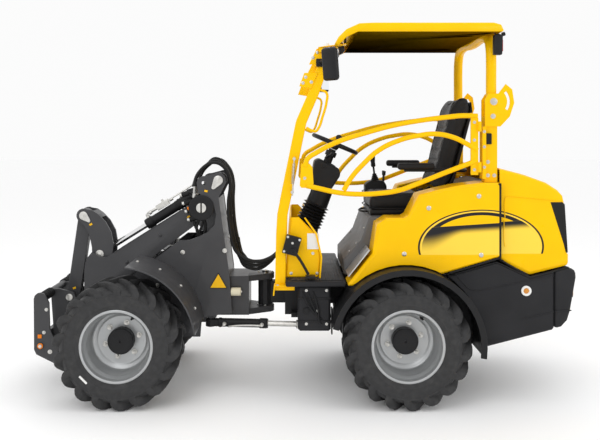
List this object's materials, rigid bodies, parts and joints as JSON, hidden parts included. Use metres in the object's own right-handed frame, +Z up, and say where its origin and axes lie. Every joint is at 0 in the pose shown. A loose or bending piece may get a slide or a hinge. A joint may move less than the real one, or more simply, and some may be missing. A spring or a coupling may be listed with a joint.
{
  "type": "compact articulated wheel loader",
  "caption": "Compact articulated wheel loader with an open canopy, a parallel-lift loader arm ending in a quick coupler, and hydraulic cylinders.",
  "frame": {"origin": "centre of the footprint of the bounding box, on the ground", "axes": "+Z up, +X towards the rear of the machine, +Y towards its right side"},
  "size_m": [3.276, 1.24, 2.244],
  "materials": {
    "tyre": "black rubber with a dusty sheen",
    "rim": "silver paint",
    "yellow": "glossy yellow paint",
    "frame_grey": "satin dark grey paint",
    "body_grey": "satin near-black paint",
    "black_plastic": "moulded black plastic",
    "seat": "black vinyl",
    "steel": "polished rod",
    "pin_steel": "zinc-plated"
  },
  "bodies": {
    "rear_frame": {"rear_chassis": "body_grey", "rear_axle": "frame_grey", "engine_block": "body_grey", "floor_plate": "body_grey", "battery_box": "black_plastic", "oil_tank": "black_plastic", "front_cowl": "yellow", "control_box": "black_plastic", "steering_column": "black_plastic", "seat_box": "body_grey", "side_panel_left": "yellow", "side_panel_right": "yellow", "lower_panel_left": "body_grey", "lower_panel_right": "body_grey", "rear_counterweight": "body_grey", "mudguard_rear_left": "black_plastic", "mudguard_rear_right": "black_plastic", "seat_cushion": "seat", "seat_backrest": "seat", "armrests": "black_plastic", "joystick_console": "black_plastic", "front_post_left": "yellow", "front_post_right": "yellow", "rops_post_left": "yellow", "rops_post_right": "yellow", "mirror_left": "black_plastic", "mirror_right": "black_plastic"},
    "front_frame": {"front_frame": "frame_grey", "front_axle": "frame_grey", "mudguard_front_left": "frame_grey", "mudguard_front_right": "frame_grey"},
    "wheel_front_left": {"tyre_front_left": "tyre", "rim_front_left": "rim"},
    "wheel_front_right": {"tyre_front_right": "tyre", "rim_front_right": "rim"},
    "wheel_rear_left": {"tyre_rear_left": "tyre", "rim_rear_left": "rim"},
    "wheel_rear_right": {"tyre_rear_right": "tyre", "rim_rear_right": "rim"},
    "hood": {"engine_hood": "yellow"},
    "canopy": {"rops_hoop": "yellow", "canopy_roof": "yellow"},
    "guard_left": {"side_guard_left": "yellow"},
    "guard_right": {"side_guard_right": "yellow"},
    "steering_wheel": {"steering_wheel": "black_plastic"},
    "boom": {"boom": "frame_grey", "lever_pin": "pin_steel", "coupler_pin": "pin_steel"},
    "tilt_lever": {"tilt_lever": "frame_grey", "link_pin": "pin_steel"},
    "tilt_link": {"tilt_link": "frame_grey"},
    "coupler": {"coupler": "frame_grey"},
    "tilt_barrel": {"tilt_barrel": "black_plastic"},
    "tilt_piston": {"tilt_piston": "black_plastic"},
    "tilt_rod": {"tilt_rod": "steel"},
    "lift_barrel": {"lift_barrel": "black_plastic"},
    "lift_rod": {"lift_rod": "steel"},
    "steer_barrel": {"steer_barrel": "black_plastic"},
    "steer_rod": {"steer_rod": "steel"}
  },
  "joints": [
    {"name": "articulation", "type": "hinge", "parent": "rear_frame", "child": "front_frame", "pos_m": [-0.23, 0, 0.565], "axis": [0, 0, 1], "range_deg": [-40, 40]},
    {"name": "wheel_front_left_spin", "type": "hinge", "parent": "front_frame", "child": "wheel_front_left", "pos_m": [-1.067, -0.468, 0.372], "axis": [0, 1, 0], "continuous": true},
    {"name": "wheel_front_right_spin", "type": "hinge", "parent": "front_frame", "child": "wheel_front_right", "pos_m": [-1.067, 0.468, 0.372], "axis": [0, 1, 0], "continuous": true},
    {"name": "wheel_rear_left_spin", "type": "hinge", "parent": "rear_frame", "child": "wheel_rear_left", "pos_m": [0.614, -0.468, 0.372], "axis": [0, 1, 0], "continuous": true},
    {"name": "wheel_rear_right_spin", "type": "hinge", "parent": "rear_frame", "child": "wheel_rear_right", "pos_m": [0.614, 0.468, 0.372], "axis": [0, 1, 0], "continuous": true},
    {"name": "boom_lift", "type": "hinge", "parent": "front_frame", "child": "boom", "pos_m": [-0.628, 0, 1.13], "axis": [0, 1, 0], "range_deg": [-4, 78]},
    {"name": "tilt", "type": "hinge", "parent": "boom", "child": "tilt_lever", "pos_m": [-1.344, 0, 0.524], "axis": [0, -1, 0], "range_deg": [-12, 44]},
    {"name": "tilt_link_turn", "type": "hinge", "parent": "tilt_lever", "child": "tilt_link", "pos_m": [-1.408, 0, 1.067], "axis": [0, 1, 0], "range_deg": [-5, 17]},
    {"name": "coupler_turn", "type": "hinge", "parent": "boom", "child": "coupler", "pos_m": [-1.423, 0, 0.394], "axis": [0, -1, 0], "range_deg": [-21.5, 77]},
    {"name": "tilt_barrel_swing", "type": "hinge", "parent": "front_frame", "child": "tilt_barrel", "pos_m": [-0.521, 0, 1.304], "axis": [0, 1, 0], "range_deg": [-4, 72]},
    {"name": "tilt_piston_slide", "type": "slide", "parent": "tilt_barrel", "child": "tilt_piston", "axis": [-0.849, 0, -0.5283], "range_m": [-0.24, 0.02]},
    {"name": "tilt_rod_slide", "type": "slide", "parent": "tilt_piston", "child": "tilt_rod", "axis": [-0.849, 0, -0.5283], "range_m": [-0.065, 0.215]},
    {"name": "lift_barrel_swing", "type": "hinge", "parent": "front_frame", "child": "lift_barrel", "pos_m": [-0.72, 0, 0.36], "axis": [0, -1, 0], "range_deg": [-0.2, 2.5]},
    {"name": "lift_rod_slide", "type": "slide", "parent": "lift_barrel", "child": "lift_rod", "axis": [-0.2014, 0, 0.9795], "range_m": [-0.03, 0.4]},
    {"name": "steer_barrel_swing", "type": "hinge", "parent": "front_frame", "child": "steer_barrel", "pos_m": [-0.57, -0.15, 0.4], "axis": [0, 0, 1], "range_deg": [-17, 17]},
    {"name": "steer_rod_slide", "type": "slide", "parent": "steer_barrel", "child": "steer_rod", "axis": [0.9962, -0.0874, 0], "range_m": [-0.13, 0.13]},
    {"name": "hood_hinge", "type": "hinge", "parent": "rear_frame", "child": "hood", "pos_m": [1.186, 0, 1.385], "axis": [0, -1, 0], "range_deg": [0, 50]},
    {"name": "guard_left_hinge", "type": "hinge", "parent": "rear_frame", "child": "guard_left", "pos_m": [1.05, -0.482, 1.5], "axis": [0, 0, 1], "range_deg": [0, 90]},
    {"name": "guard_right_hinge", "type": "hinge", "parent": "rear_frame", "child": "guard_right", "pos_m": [1.05, 0.482, 1.5], "axis": [0, 0, -1], "range_deg": [0, 90]},
    {"name": "canopy_fold", "type": "hinge", "parent": "rear_frame", "child": "canopy", "pos_m": [1.14, 0, 1.788], "axis": [0, 1, 0], "range_deg": [0, 55]},
    {"name": "steering_wheel_turn", "type": "hinge", "parent": "rear_frame", "child": "steering_wheel", "pos_m": [0.223, 0, 1.52], "axis": [0.3907, 0, 0.9205], "continuous": true}
  ],
  "couplings": [
    {"joint": "tilt_link_turn", "follows": "tilt", "ratio": 0.36},
    {"joint": "coupler_turn", "follows": "tilt", "ratio": 1.7},
    {"joint": "tilt_barrel_swing", "follows": "boom_lift", "ratio": 0.9},
    {"joint": "tilt_piston_slide", "follows": "boom_lift", "m_per_rad": -0.166},
    {"joint": "tilt_rod_slide", "follows": "tilt", "m_per_rad": 0.27},
    {"joint": "lift_barrel_swing", "follows": "boom_lift", "ratio": 0.03},
    {"joint": "lift_rod_slide", "follows": "boom_lift", "m_per_rad": 0.288},
    {"joint": "steer_barrel_swing", "follows": "articulation", "ratio": -0.42},
    {"joint": "steer_rod_slide", "follows": "articulation", "m_per_rad": -0.1755}
  ]
}
